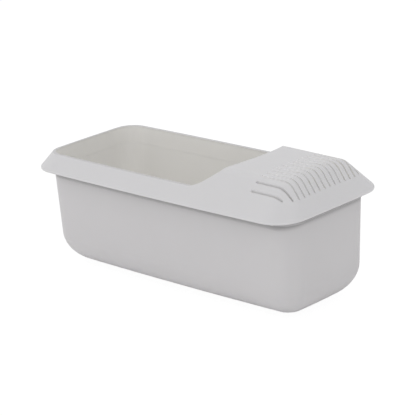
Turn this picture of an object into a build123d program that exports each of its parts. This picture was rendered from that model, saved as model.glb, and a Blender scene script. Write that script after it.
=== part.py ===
"""A tapered plastic box with a lift-off strainer collar: two injection mouldings.

X runs along the box with the strainer bridge at +X, Y across it, Z up.
The origin is the centre of the underside.
"""

import math
import os

from build123d import *

# Overall size, millimetres.
LENGTH = 290.0
WIDTH = 135.0
HEIGHT = 120.0

# Container: half sizes at mid-side on the base plane, and how far they grow by TAPER_HEIGHT.
BASE_HALF_LENGTH = 135.8
BASE_HALF_WIDTH = 49.3
TAPER_HEIGHT = 90.0
TAPER_LENGTH = 1.8
TAPER_WIDTH = 4.9
CORNER_RADIUS = 17.0
TAPER_RADIUS = 1.0
SIDE_BOW = 1.8
END_BOW = 0.8
WALL = 2.8
BOTTOM_RADIUS = 28.0
BOTTOM_STEPS = 6
CORNER_TIGHTENING = 0.4

# Container rim: a band that steps outward over a ledge for the collar's skirt.
LEDGE_Z = 87.0
BAND_STEP = 2.2
CONTAINER_TOP = 93.0
BAND_ROUND = 0.9

# Collar: a hipped sheet, from its lower edge up to a sharp top that the crown cuts off.
SHEET = 2.1
EDGE_Z = 90.0
EDGE_BAND = 1.6
EDGE_RADIUS = 25.5
FLANGE_SIDE_BOW = 2.2
FLANGE_END_BOW = 1.0
RUN_PER_RISE_END = 0.68
RUN_PER_RISE_SIDE = 1.11
RADIUS_PER_RISE = 0.72
HIP_TOP = 124.0
TOP_SIDE_BOW = 1.3
TOP_END_BOW = 0.6
CROWN_RADIUS = 320.0
CROWN_FALL = 0.015
SHOULDER_RADIUS = 12.0
BAND_TOP_ROUND = 1.0
BAND_FOOT_ROUND = 0.6

# Collar mouth: a rough cut stops at ROOF_START_X, then the exact one follows the free edge's plan.
RIM_Z = 103.0
ROOF_START_X = 20.0
HOLLOW_START_X = 10.0
ROUGH_CUT_GAP = 2.0
HOLLOW_CUT_GAP = 5.0
BRIDGE_FOOT_X = 38.6
BRIDGE_EDGE_X = 57.8
BRIDGE_FOOT_Y = 54.5
BRIDGE_EDGE_Y = 39.3
BRIDGE_EDGE_HOLLOW = 8.0
FOOT_ROUND = 4.0
EDGE_ROUND = 5.0
SKIRT_CLEARANCE = 0.4
SKIRT = BAND_STEP - SKIRT_CLEARANCE
RIM_ROUND = 0.8

# Straining slots: their plan is a row of thin slots along X.
SLOT_COUNT = 16
SLOT_PITCH = 6.4
SLOT_WIDTH = 1.6
SLOT_START_X = 97.0
SLOT_END_X = 136.0
SLOT_ROW_HALF_WIDTH = 51.0
SLOT_ROW_CORNER = 16.0

PAST = 10.0


def bowed_outline(z, half_length, half_width, radius, side_bow, end_bow):
    """A rounded rectangle at height z, with gently bulging sides."""
    corner_x = half_length - end_bow
    corner_y = half_width - side_bow
    with BuildSketch(Plane.XY.offset(z)) as outline:
        with BuildLine():
            ThreePointArc((-corner_x, -corner_y), (0, -half_width), (corner_x, -corner_y))
            ThreePointArc((corner_x, -corner_y), (half_length, 0), (corner_x, corner_y))
            ThreePointArc((corner_x, corner_y), (0, half_width), (-corner_x, corner_y))
            ThreePointArc((-corner_x, corner_y), (-half_length, 0), (-corner_x, -corner_y))
        make_face()
        fillet(outline.vertices(), radius)
    return outline.sketch.face()


def box_section(z, inset, corner_inset=None):
    """The container's tapered outline at height z, moved inward by inset."""
    grown = z / TAPER_HEIGHT
    radius = CORNER_RADIUS + TAPER_RADIUS * grown
    radius -= inset if corner_inset is None else corner_inset
    half_length = BASE_HALF_LENGTH + TAPER_LENGTH * grown - inset
    half_width = BASE_HALF_WIDTH + TAPER_WIDTH * grown - inset
    return bowed_outline(z, half_length, half_width, radius, SIDE_BOW, END_BOW)


def bottom_sections(inset, floor_z):
    """Sections up a quarter round, from the flat floor to the foot of the wall."""
    round_radius = BOTTOM_RADIUS - floor_z
    sections = []
    for step in range(BOTTOM_STEPS + 1):
        angle = math.radians(90 * step / BOTTOM_STEPS)
        z = floor_z + round_radius * (1 - math.cos(angle))
        tuck = round_radius * (1 - math.sin(angle))
        sections.append(box_section(z, inset + tuck, inset + CORNER_TIGHTENING * tuck))
    return sections


def hip_section(z, inset_side, inset_end, radius_inset):
    """The collar's outline at height z; the insets give the sheet's inner face."""
    rise = z - EDGE_Z - EDGE_BAND
    share = (z - EDGE_Z) / (HIP_TOP - EDGE_Z)
    half_length = LENGTH / 2 - RUN_PER_RISE_END * rise - inset_end
    half_width = WIDTH / 2 - RUN_PER_RISE_SIDE * rise - inset_side
    radius = EDGE_RADIUS - RADIUS_PER_RISE * rise - radius_inset
    side_bow = FLANGE_SIDE_BOW + (TOP_SIDE_BOW - FLANGE_SIDE_BOW) * share
    end_bow = FLANGE_END_BOW + (TOP_END_BOW - FLANGE_END_BOW) * share
    return bowed_outline(z, half_length, half_width, radius, side_bow, end_bow)


def under_crown(drop):
    """Everything under the crown of the bridge, lowered by drop; the crown falls towards +X."""
    half_width = WIDTH / 2 + PAST
    radius = CROWN_RADIUS - drop
    start_x = -LENGTH / 2 - PAST
    top_x = BRIDGE_EDGE_X + BRIDGE_EDGE_HOLLOW + RIM_ROUND
    top_z = HEIGHT - drop + CROWN_FALL * (top_x - start_x)
    edge_z = top_z - radius + math.sqrt(radius**2 - half_width**2)
    with BuildSketch(Plane.YZ.offset(start_x)) as profile:
        with BuildLine():
            Polyline((half_width, edge_z), (half_width, 0), (-half_width, 0), (-half_width, edge_z))
            ThreePointArc((-half_width, edge_z), (0, top_z), (half_width, edge_z))
        make_face()
    return Solid.extrude(profile.sketch.face(), Vector(1, 0, -CROWN_FALL) * (LENGTH + 2 * PAST))


def before_roof(start_x, gap):
    """Everything more than gap above the rim on the mouth's side, as far as start_x."""
    with BuildPart() as block:
        with Locations((start_x, 0, RIM_Z + gap)):
            Box(LENGTH, 2 * WIDTH, HEIGHT, align=(Align.MAX, Align.CENTER, Align.MIN))
    return block.part


def shoulder_edges(body):
    """The edges round the crown face, without the straight one where the roof starts."""
    return body.faces().sort_by(Axis.Z)[-1].edges().sort_by(Axis.X)[1:]


os.makedirs("parts", exist_ok=True)

# Container.
with BuildPart() as container:
    loft(bottom_sections(0, 0))
    loft(
        [
            box_section(BOTTOM_RADIUS, 0),
            box_section(LEDGE_Z - BAND_STEP, 0),
            box_section(LEDGE_Z, -BAND_STEP),
            box_section(CONTAINER_TOP, -BAND_STEP),
        ],
        ruled=True,
    )
    loft(bottom_sections(WALL, WALL), mode=Mode.SUBTRACT)
    loft(
        [box_section(BOTTOM_RADIUS, WALL), box_section(LEDGE_Z, WALL)],
        ruled=True,
        mode=Mode.SUBTRACT,
    )
    loft(
        [
            box_section(LEDGE_Z, WALL - BAND_STEP),
            box_section(CONTAINER_TOP, WALL - BAND_STEP),
        ],
        ruled=True,
        mode=Mode.SUBTRACT,
    )
    fillet(container.faces().sort_by(Axis.Z)[-1].edges(), BAND_ROUND)
container.part.label = "container"
export_step(container.part, "parts/container.step")


# Collar: the outer face, hipped, crowned and rounded at the shoulder.
with BuildPart() as hip:
    extrude(hip_section(EDGE_Z + EDGE_BAND, 0, 0, 0), -EDGE_BAND)
    loft([hip_section(EDGE_Z + EDGE_BAND, 0, 0, 0), hip_section(HIP_TOP, 0, 0, 0)], ruled=True)
    add(under_crown(0), mode=Mode.INTERSECT)
    add(before_roof(ROOF_START_X, ROUGH_CUT_GAP), mode=Mode.SUBTRACT)
    fillet(shoulder_edges(hip), SHOULDER_RADIUS)
    band_top = hip.edges().filter_by_position(Axis.Z, EDGE_Z + EDGE_BAND, EDGE_Z + EDGE_BAND)
    fillet(band_top, BAND_TOP_ROUND)
    fillet(hip.faces().sort_by(Axis.Z)[0].edges(), BAND_FOOT_ROUND)

# The same shape one sheet thickness inside it.
side_sheet = SHEET * math.hypot(1, RUN_PER_RISE_SIDE)
end_sheet = SHEET * math.hypot(1, RUN_PER_RISE_END)
with BuildPart() as hollow:
    loft(
        [
            hip_section(EDGE_Z - BAND_FOOT_ROUND, side_sheet, end_sheet, SHEET),
            hip_section(HIP_TOP - SHEET, side_sheet, end_sheet, SHEET),
        ],
        ruled=True,
    )
    add(under_crown(SHEET), mode=Mode.INTERSECT)
    add(before_roof(HOLLOW_START_X, HOLLOW_CUT_GAP), mode=Mode.SUBTRACT)
    fillet(shoulder_edges(hollow), SHOULDER_RADIUS - SHEET)

# Everything above the rim on the mouth's side, out to the bridge's free edge.
with BuildPart() as mouth:
    with BuildSketch(Plane.XY.offset(RIM_Z)) as mouth_plan:
        with BuildLine():
            Polyline(
                (BRIDGE_EDGE_X, BRIDGE_EDGE_Y),
                (BRIDGE_FOOT_X, BRIDGE_FOOT_Y),
                (BRIDGE_FOOT_X, WIDTH),
                (-LENGTH, WIDTH),
                (-LENGTH, -WIDTH),
                (BRIDGE_FOOT_X, -WIDTH),
                (BRIDGE_FOOT_X, -BRIDGE_FOOT_Y),
                (BRIDGE_EDGE_X, -BRIDGE_EDGE_Y),
            )
            ThreePointArc(
                (BRIDGE_EDGE_X, -BRIDGE_EDGE_Y),
                (BRIDGE_EDGE_X + BRIDGE_EDGE_HOLLOW, 0),
                (BRIDGE_EDGE_X, BRIDGE_EDGE_Y),
            )
        make_face()
        corners = mouth_plan.vertices().filter_by_position(Axis.Y, -BRIDGE_FOOT_Y, BRIDGE_FOOT_Y)
        fillet(corners.group_by(Axis.X)[-1], EDGE_ROUND)
        corners = mouth_plan.vertices().filter_by_position(Axis.Y, -BRIDGE_FOOT_Y, BRIDGE_FOOT_Y)
        fillet(corners.group_by(Axis.X)[0], FOOT_ROUND)
    extrude(amount=HEIGHT)
    foot = mouth.faces().sort_by(Axis.Z)[0].edges()
    fillet(foot.filter_by_position(Axis.X, BRIDGE_FOOT_X - 1, LENGTH), FOOT_ROUND)

# The straining slots, from the rim's height up.
with BuildPart() as slots:
    with BuildSketch(Plane.XY.offset(RIM_Z)):
        for row in range(SLOT_COUNT):
            y = (row - (SLOT_COUNT - 1) / 2) * SLOT_PITCH
            into_corner = max(0, abs(y) - (SLOT_ROW_HALF_WIDTH - SLOT_ROW_CORNER))
            end_x = SLOT_END_X - SLOT_ROW_CORNER + math.sqrt(SLOT_ROW_CORNER**2 - into_corner**2)
            with Locations(((SLOT_START_X + end_x) / 2, y)):
                SlotOverall(end_x - SLOT_START_X, SLOT_WIDTH)
    extrude(amount=HEIGHT - RIM_Z)

# Collar: the mouth is cut and eased, then it is slotted, hollowed and given its skirt.
with BuildPart() as collar:
    add(hip.part)
    add(mouth.part, mode=Mode.SUBTRACT)
    fillet(collar.edges(Select.NEW), RIM_ROUND)
    add(slots.part, mode=Mode.SUBTRACT)
    add(hollow.part, mode=Mode.SUBTRACT)
    loft([box_section(LEDGE_Z, WALL - SKIRT), box_section(RIM_Z, WALL - SKIRT)], ruled=True)
    loft([box_section(LEDGE_Z, WALL), box_section(RIM_Z, WALL)], ruled=True, mode=Mode.SUBTRACT)
collar.part.label = "strainer_collar"
export_step(collar.part, "parts/strainer_collar.step")
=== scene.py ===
"""Looks for the food box with its strainer collar: moulded plastic, studio floor and light."""

import math
from types import SimpleNamespace

import bpy
from mathutils import Matrix, Vector


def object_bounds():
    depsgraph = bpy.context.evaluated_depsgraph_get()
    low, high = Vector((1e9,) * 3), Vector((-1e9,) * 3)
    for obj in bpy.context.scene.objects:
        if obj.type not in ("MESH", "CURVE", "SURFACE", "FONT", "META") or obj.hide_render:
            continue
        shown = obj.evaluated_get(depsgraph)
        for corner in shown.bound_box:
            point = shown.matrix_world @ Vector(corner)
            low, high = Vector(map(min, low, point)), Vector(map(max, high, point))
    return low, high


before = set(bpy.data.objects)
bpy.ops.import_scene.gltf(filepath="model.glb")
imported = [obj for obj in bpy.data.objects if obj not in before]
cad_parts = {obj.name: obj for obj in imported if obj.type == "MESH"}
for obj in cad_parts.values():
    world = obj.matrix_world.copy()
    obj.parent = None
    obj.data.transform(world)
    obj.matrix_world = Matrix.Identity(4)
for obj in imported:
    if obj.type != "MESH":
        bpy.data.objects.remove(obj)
cad_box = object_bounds()
low = Vector(cad_box[0])
high = Vector(cad_box[1])
centre = (low + high) / 2

# Lengths are in metres and angles in degrees, except the lens and sensor in millimetres.

# The camera: where it stands round the box.
CAMERA_AZIMUTH = 43.08
CAMERA_ELEVATION = 18.49
CAMERA_ROLL = -2.98
CAMERA_DISTANCE = 1.617
CAMERA_LENS = 164.5
CAMERA_SENSOR = 36.0
CAMERA_SLIDE = (0.0031, 0.0018)

# Soft light from all round: its level, and how it rises towards the front left and the top.
LIGHT_LEVEL = 0.92
LIGHT_SLOPE = (-0.06, -0.09, 0.09)
KEY_PLACE = (-0.5, -1.4, 1.0)
KEY_SIZE = 1.0
KEY_POWER = 1.5

WHITE = (1.0, 1.0, 1.0, 1.0)

# The floor: how much light it throws back up, and how evenly white it looks.
FLOOR_REACH = 6.0
FLOOR_BOUNCE = 0.75
FLOOR_WHITENESS = 0.9
FLOOR_GLOW = 1.06

# A flat core inside the box: faces that look at it are inside faces.
CORE_HALF_LENGTH = 0.09
CORE_HALF_WIDTH = 0.02
CORE_Z = 0.05

# The plastic: the container is a little lighter than the collar, and both are warmer inside, as painted
# light on the inside faces.
INSIDE = (0.632, 0.622, 0.602, 1.0)
CONTAINER_OUTSIDE = (0.624, 0.611, 0.62, 1.0)
CONTAINER_EDGE = (0.64, 0.63, 0.63, 1.0)
CONTAINER_ROUGHNESS = 0.45
COLLAR_OUTSIDE = (0.592, 0.586, 0.597, 1.0)
COLLAR_EDGE = (0.66, 0.65, 0.65, 1.0)
COLLAR_ROUGHNESS = 0.42

# Container painted light and shade: painted light at the foot's lower corner, and painted shade on the
# wall close under the flange, which starts higher at the ends because the flange stands out less there.
FOOT_Z = (0.0, 0.03)
FOOT_PAINTED_LIGHT = 1.28
SHADE_Z = (0.0770, 0.0822)
SHADE_END_LIFT = 0.0035
SHADE_REACH = 0.015
SHADE_NORMAL = 0.3
SHADE_DEPTH = 2.4
SHADE_SAMPLES = 12

# Collar painted light and shade: a painted highlight on the flange's thin lower edge and painted light
# on its end slope, painted shade on the level rim and the lip inside it.
FLANGE_EDGE_Z = (0.0914, 0.0920)
FLANGE_EDGE_PAINTED_HIGHLIGHT = 1.12
END_FACING = (0.3, 0.8)
END_SLOPE_PAINTED_LIGHT = 1.05
RIM_TOP_Z = 0.104
RIM_TOP_NORMAL = 0.9
RIM_PAINTED_SHADE = 0.84
LIP_Z = (0.1005, 0.1025)
LIP_PAINTED_SHADE = 0.90

# Moulded skin: slow clouds of tone, flow marks, fine grain, and edges lighter, partly as wear and partly
# as a painted highlight.
CLOUD_SCALE = 14.0
CLOUD_DETAIL = 4.0
CLOUD_SPREAD = 0.05
FLOW_SCALE = 60.0
FLOW_DETAIL = 5.0
FLOW_ROUGHNESS = 0.6
FLOW_GLOSS = 0.10
FLOW_HEIGHT = 1.5
GRAIN_SCALE = 900.0
GRAIN_DETAIL = 2.0
BUMP_STRENGTH = 0.12
BUMP_HEIGHT = 0.0001
EDGE_WIDTH = 0.0006
EDGE_SAMPLES = 6
EDGE_WEAR_AND_HIGHLIGHT = 3.0
PLASTIC_IOR = 1.49
SCATTER_SHARE = 0.15
SCATTER_RADIUS = (0.004, 0.004, 0.0035)
SCATTER_SCALE = 0.6

# Painted glow on the inside faces, standing in for light that comes through the walls: by depth inside
# the box, and more in the end corners as a painted highlight.
DEPTH_Z = (0.03, 0.10)
INSIDE_PAINTED_GLOW = (0.15, 0.09)
CORNER_X = (0.105, 0.128)
CORNER_Y = (0.020, 0.045)
CORNER_PAINTED_HIGHLIGHT = 0.055

# The straining slots' own walls: upright faces above the rim, from where the slots start. A painted glow
# lights them most on the plateau, less past its shoulder, and least off its long edges.
SLOT_WALL_NORMAL = 0.2
SLOT_FOOT_Z = 0.1032
SLOT_START_X = 0.096
SLOT_SHOULDER_X = (0.110, 0.124)
SLOT_PAINTED_GLOW = (0.30, 0.19)
PLATEAU_EDGE_Y = (0.036, 0.041)
HIP_SLOT_SHARE = 0.32

# Where a Mix node keeps its two colours, after its numbers and vectors.
FIRST_COLOUR = 6
SECOND_COLOUR = 7


def add_node(tree, kind, inputs=None, **settings):
    """One shader node with its settings and unlinked input values."""
    node = tree.nodes.new("ShaderNode" + kind)
    for name, value in settings.items():
        setattr(node, name, value)
    for name, value in (inputs or {}).items():
        node.inputs[name].default_value = value
    return node


def feed(tree, socket, value):
    """Gives an input socket either a fixed value or another node's output."""
    if isinstance(value, (int, float, tuple)):
        socket.default_value = value
    else:
        tree.links.new(value, socket)


def math_node(tree, operation, first, second=None, clamp=False):
    """A Math node; first and second are sockets or numbers."""
    node = add_node(tree, "Math", operation=operation, use_clamp=clamp)
    feed(tree, node.inputs[0], first)
    if second is not None:
        feed(tree, node.inputs[1], second)
    return node.outputs[0]


def product(tree, *factors):
    """All the factors multiplied together."""
    total = factors[0]
    for factor in factors[1:]:
        total = math_node(tree, "MULTIPLY", total, factor)
    return total


def vector_node(tree, operation, first, second):
    """A Vector Math node; first and second are sockets or triples."""
    node = add_node(tree, "VectorMath", operation=operation)
    feed(tree, node.inputs[0], first)
    feed(tree, node.inputs[1], second)
    return node.outputs["Value" if operation == "DOT_PRODUCT" else "Vector"]


def parts_of(tree, vector):
    """The X, Y and Z of a vector."""
    node = add_node(tree, "SeparateXYZ")
    tree.links.new(vector, node.inputs[0])
    return node.outputs["X"], node.outputs["Y"], node.outputs["Z"]


def mix_colours(tree, share, first, second):
    """first where share is 0, second where it is 1."""
    node = add_node(tree, "Mix", data_type="RGBA", clamp_factor=True)
    feed(tree, node.inputs[0], share)
    feed(tree, node.inputs[FIRST_COLOUR], first)
    feed(tree, node.inputs[SECOND_COLOUR], second)
    return node.outputs[2]


def ramp(tree, value, span, ends):
    """Takes value across span to the two ends, smoothly, and holds them outside it."""
    node = add_node(tree, "MapRange", interpolation_type="SMOOTHSTEP")
    tree.links.new(value, node.inputs["Value"])
    for name, number in zip(("From Min", "From Max", "To Min", "To Max"), (*span, *ends)):
        node.inputs[name].default_value = number
    return node.outputs[0]


def noise(tree, vector, scale, detail, roughness=0.5):
    """Noise from 0 to 1 over the object's own coordinates, in cells per metre."""
    node = add_node(tree, "TexNoise", {"Scale": scale, "Detail": detail, "Roughness": roughness})
    tree.links.new(vector, node.inputs["Vector"])
    return node.outputs["Fac"]


def surface_point(tree):
    """Where a point of the surface lies, how its face is turned, and whether that looks inward."""
    place = add_node(tree, "TexCoord").outputs["Object"]
    normal = add_node(tree, "NewGeometry").outputs["Normal"]
    x, y, z = parts_of(tree, place)
    normal_x, _, normal_z = parts_of(tree, normal)
    core = (CORE_HALF_LENGTH, CORE_HALF_WIDTH, CORE_Z)
    nearest = vector_node(tree, "MINIMUM", place, core)
    nearest = vector_node(tree, "MAXIMUM", nearest, (-CORE_HALF_LENGTH, -CORE_HALF_WIDTH, CORE_Z))
    outward = vector_node(tree, "SUBTRACT", place, nearest)
    inside = math_node(tree, "LESS_THAN", vector_node(tree, "DOT_PRODUCT", outward, normal), 0.0)
    return SimpleNamespace(
        place=place,
        normal=normal,
        normal_x=normal_x,
        normal_z=normal_z,
        x=x,
        z=z,
        off_x=math_node(tree, "ABSOLUTE", x),
        off_y=math_node(tree, "ABSOLUTE", y),
        inside=inside,
        outside=math_node(tree, "SUBTRACT", 1.0, inside),
    )


def container_painted_shading(tree, point):
    """Painted light at the foot, and painted shade where the flange keeps the light off the wall."""
    # Painted light: the wall colour is lighter towards the foot.
    foot = ramp(tree, point.z, FOOT_Z, (FOOT_PAINTED_LIGHT, 1.0))
    # Painted shade: ambient occlusion darkens the wall colour close under the flange.
    hidden = add_node(tree, "AmbientOcclusion", {"Distance": SHADE_REACH}, samples=SHADE_SAMPLES)
    upright = math_node(tree, "LESS_THAN", point.normal_z, SHADE_NORMAL)
    endwise = math_node(tree, "ABSOLUTE", point.normal_x)
    height = math_node(tree, "SUBTRACT", point.z, product(tree, endwise, SHADE_END_LIFT))
    depth = product(tree, point.outside, ramp(tree, height, SHADE_Z, (0.0, SHADE_DEPTH)), upright)
    return product(tree, foot, math_node(tree, "POWER", hidden.outputs["AO"], depth))


def collar_painted_shading(tree, point):
    """A painted highlight along the flange's lower edge and painted light on its end slope, painted
    shade on the rim and its lip.
    """
    # Painted highlight on the flange's lower edge and painted light on its end slope, on outside faces
    # only.
    edge = ramp(tree, point.z, FLANGE_EDGE_Z, (FLANGE_EDGE_PAINTED_HIGHLIGHT, 1.0))
    end = ramp(tree, point.normal_x, END_FACING, (1.0, END_SLOPE_PAINTED_LIGHT))
    slope = math_node(tree, "POWER", product(tree, edge, end), point.outside)
    # Painted shade on the level rim top.
    level = math_node(tree, "GREATER_THAN", point.normal_z, RIM_TOP_NORMAL)
    on_rim = product(tree, level, math_node(tree, "LESS_THAN", point.z, RIM_TOP_Z))
    rim = math_node(tree, "POWER", RIM_PAINTED_SHADE, on_rim)
    # Painted shade on the lip just inside the rim.
    lip = math_node(tree, "POWER", ramp(tree, point.z, LIP_Z, (1.0, LIP_PAINTED_SHADE)), point.inside)
    return product(tree, slope, rim, lip)


def container_painted_glow(tree, point):
    """A painted glow on the inside faces for light that comes through the walls, and a painted highlight
    in the end corners.
    """
    # Painted glow on the inside faces, stronger lower down.
    deep = product(tree, point.inside, ramp(tree, point.z, DEPTH_Z, INSIDE_PAINTED_GLOW))
    # Painted highlight in the end corners.
    along = ramp(tree, point.off_x, CORNER_X, (0.0, 1.0))
    across = ramp(tree, point.off_y, CORNER_Y, (0.0, CORNER_PAINTED_HIGHLIGHT))
    return math_node(tree, "ADD", deep, product(tree, point.inside, along, across))


def collar_painted_glow(tree, point):
    """As in the container, and the slots' own thin walls get a painted glow too."""
    # Painted glow on the slots' upright walls above the rim.
    upright = math_node(tree, "LESS_THAN", math_node(tree, "ABSOLUTE", point.normal_z), SLOT_WALL_NORMAL)
    above = math_node(tree, "GREATER_THAN", point.z, SLOT_FOOT_Z)
    beyond = math_node(tree, "GREATER_THAN", point.x, SLOT_START_X)
    strength = ramp(tree, point.x, SLOT_SHOULDER_X, SLOT_PAINTED_GLOW)
    share = ramp(tree, point.off_y, PLATEAU_EDGE_Y, (1.0, HIP_SLOT_SHARE))
    in_slot = product(tree, upright, above, beyond, strength, share)
    return math_node(tree, "MAXIMUM", container_painted_glow(tree, point), in_slot)


def moulded_plastic(name, outside, edge, roughness, painted_shading, glow):
    """Satin moulded plastic; the two functions give one piece its painted light and shade and its
    painted glow.
    """
    material = bpy.data.materials.new(name)
    material.use_nodes = True
    tree = material.node_tree
    tree.nodes.clear()
    output = add_node(tree, "OutputMaterial")
    shader = add_node(tree, "BsdfPrincipled")
    tree.links.new(shader.outputs[0], output.inputs[0])
    point = surface_point(tree)

    clouds = noise(tree, point.place, CLOUD_SCALE, CLOUD_DETAIL)
    clouds = math_node(tree, "ADD", product(tree, clouds, CLOUD_SPREAD), 1.0 - CLOUD_SPREAD / 2)
    shade = add_node(tree, "HueSaturation")
    # Inside faces take the warmer inside colour, a painted light.
    feed(tree, shade.inputs["Color"], mix_colours(tree, point.inside, outside, INSIDE))
    # The value carries the random clouds of tone and the piece's painted light and shade.
    feed(tree, shade.inputs["Value"], product(tree, clouds, painted_shading(tree, point)))

    # Edges take the lighter edge colour, partly as wear and partly as a painted highlight.
    bevel = add_node(tree, "Bevel", {"Radius": EDGE_WIDTH}, samples=EDGE_SAMPLES).outputs[0]
    turned = math_node(tree, "SUBTRACT", 1.0, vector_node(tree, "DOT_PRODUCT", bevel, point.normal))
    worn_and_lit = math_node(tree, "MULTIPLY", turned, EDGE_WEAR_AND_HIGHLIGHT, clamp=True)
    colour = mix_colours(tree, worn_and_lit, shade.outputs[0], edge)

    flow = noise(tree, point.place, FLOW_SCALE, FLOW_DETAIL, FLOW_ROUGHNESS)
    grain = noise(tree, point.place, GRAIN_SCALE, GRAIN_DETAIL)
    rough = math_node(tree, "ADD", product(tree, flow, FLOW_GLOSS), roughness - FLOW_GLOSS / 2)
    bump = add_node(tree, "Bump", {"Strength": BUMP_STRENGTH, "Distance": BUMP_HEIGHT})
    feed(tree, bump.inputs["Height"], math_node(tree, "ADD", grain, product(tree, flow, FLOW_HEIGHT)))
    feed(tree, bump.inputs["Normal"], bevel)

    feed(tree, shader.inputs["Base Color"], colour)
    feed(tree, shader.inputs["Roughness"], rough)
    feed(tree, shader.inputs["Normal"], bump.outputs[0])
    feed(tree, shader.inputs["IOR"], PLASTIC_IOR)
    # Painted glow: the surface emits its own colour at the strength the glow function gives.
    feed(tree, shader.inputs["Emission Color"], colour)
    feed(tree, shader.inputs["Emission Strength"], glow(tree, point))
    feed(tree, shader.inputs["Subsurface Weight"], SCATTER_SHARE)
    feed(tree, shader.inputs["Subsurface Radius"], SCATTER_RADIUS)
    feed(tree, shader.inputs["Subsurface Scale"], SCATTER_SCALE)
    return material


def dress(node, material):
    """Gives a CAD node its material."""
    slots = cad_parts[node].data.materials
    slots.clear()
    slots.append(material)


def dress_pieces():
    """The container and the collar are two mouldings of nearly the same plastic."""
    container = moulded_plastic(
        "container_plastic",
        CONTAINER_OUTSIDE,
        CONTAINER_EDGE,
        CONTAINER_ROUGHNESS,
        container_painted_shading,
        container_painted_glow,
    )
    collar = moulded_plastic(
        "collar_plastic",
        COLLAR_OUTSIDE,
        COLLAR_EDGE,
        COLLAR_ROUGHNESS,
        collar_painted_shading,
        collar_painted_glow,
    )
    dress("container", container)
    dress("strainer_collar", collar)


def studio_floor():
    """A wide pale floor just under the box; only the camera sees its glow."""
    reach = FLOOR_REACH
    corners = [(-reach, -reach, 0), (reach, -reach, 0), (reach, reach, 0), (-reach, reach, 0)]
    mesh = bpy.data.meshes.new("floor")
    mesh.from_pydata(corners, [], [(0, 1, 2, 3)])
    floor = bpy.data.objects.new("floor", mesh)
    bpy.context.scene.collection.objects.link(floor)
    floor.location.z = low.z
    material = bpy.data.materials.new("floor_white")
    material.use_nodes = True
    tree = material.node_tree
    tree.nodes.clear()
    output = add_node(tree, "OutputMaterial")
    matte = add_node(tree, "BsdfDiffuse", {"Color": (FLOOR_BOUNCE, FLOOR_BOUNCE, FLOOR_BOUNCE, 1.0)})
    white = add_node(tree, "Emission", {"Color": WHITE, "Strength": FLOOR_GLOW})
    seen = add_node(tree, "MixShader")
    camera_ray = add_node(tree, "LightPath").outputs["Is Camera Ray"]
    tree.links.new(product(tree, camera_ray, FLOOR_WHITENESS), seen.inputs[0])
    tree.links.new(matte.outputs[0], seen.inputs[1])
    tree.links.new(white.outputs[0], seen.inputs[2])
    tree.links.new(seen.outputs[0], output.inputs[0])
    mesh.materials.append(material)


def area_light(name, place, size, power, target):
    """A square soft light at place, turned to target."""
    data = bpy.data.lights.new(name, "AREA")
    data.size = size
    data.energy = power
    light = bpy.data.objects.new(name, data)
    bpy.context.scene.collection.objects.link(light)
    light.location = place
    light.rotation_euler = (Vector(target) - Vector(place)).to_track_quat("-Z", "Y").to_euler()


def studio_light():
    """White surroundings, a little brighter towards the front left, and a large soft key."""
    world = bpy.data.worlds.new("studio")
    bpy.context.scene.world = world
    world.use_nodes = True
    tree = world.node_tree
    background = tree.nodes["Background"]
    direction = add_node(tree, "TexCoord").outputs["Generated"]
    slope = vector_node(tree, "DOT_PRODUCT", direction, LIGHT_SLOPE)
    strength = math_node(tree, "ADD", slope, LIGHT_LEVEL)
    camera_ray = add_node(tree, "LightPath").outputs["Is Camera Ray"]
    background.inputs["Color"].default_value = WHITE
    tree.links.new(math_node(tree, "MAXIMUM", strength, camera_ray), background.inputs["Strength"])
    area_light("key", KEY_PLACE, KEY_SIZE, KEY_POWER, centre)
    bpy.context.scene.view_settings.view_transform = "Standard"


def camera():
    """Looks at the middle of the box from the front right, a little above it."""
    azimuth = math.radians(CAMERA_AZIMUTH)
    elevation = math.radians(CAMERA_ELEVATION)
    roll = math.radians(CAMERA_ROLL)
    back = Vector((
        math.sin(azimuth) * math.cos(elevation),
        -math.cos(azimuth) * math.cos(elevation),
        math.sin(elevation),
    ))
    right = Vector((0.0, 0.0, 1.0)).cross(back).normalized()
    up = back.cross(right)
    place = Vector((0.0, 0.0, centre.z)) + back * CAMERA_DISTANCE
    place += right * CAMERA_SLIDE[0] + up * CAMERA_SLIDE[1]
    rolled_right = right * math.cos(roll) + up * math.sin(roll)
    rolled_up = up * math.cos(roll) - right * math.sin(roll)
    data = bpy.data.cameras.new("camera")
    data.lens = CAMERA_LENS
    data.sensor_width = CAMERA_SENSOR
    eye = bpy.data.objects.new("camera", data)
    bpy.context.scene.collection.objects.link(eye)
    turn = Matrix((rolled_right, rolled_up, back)).transposed()
    eye.matrix_world = Matrix.Translation(place) @ turn.to_4x4()
    bpy.context.scene.camera = eye


dress_pieces()
studio_floor()
studio_light()
camera()
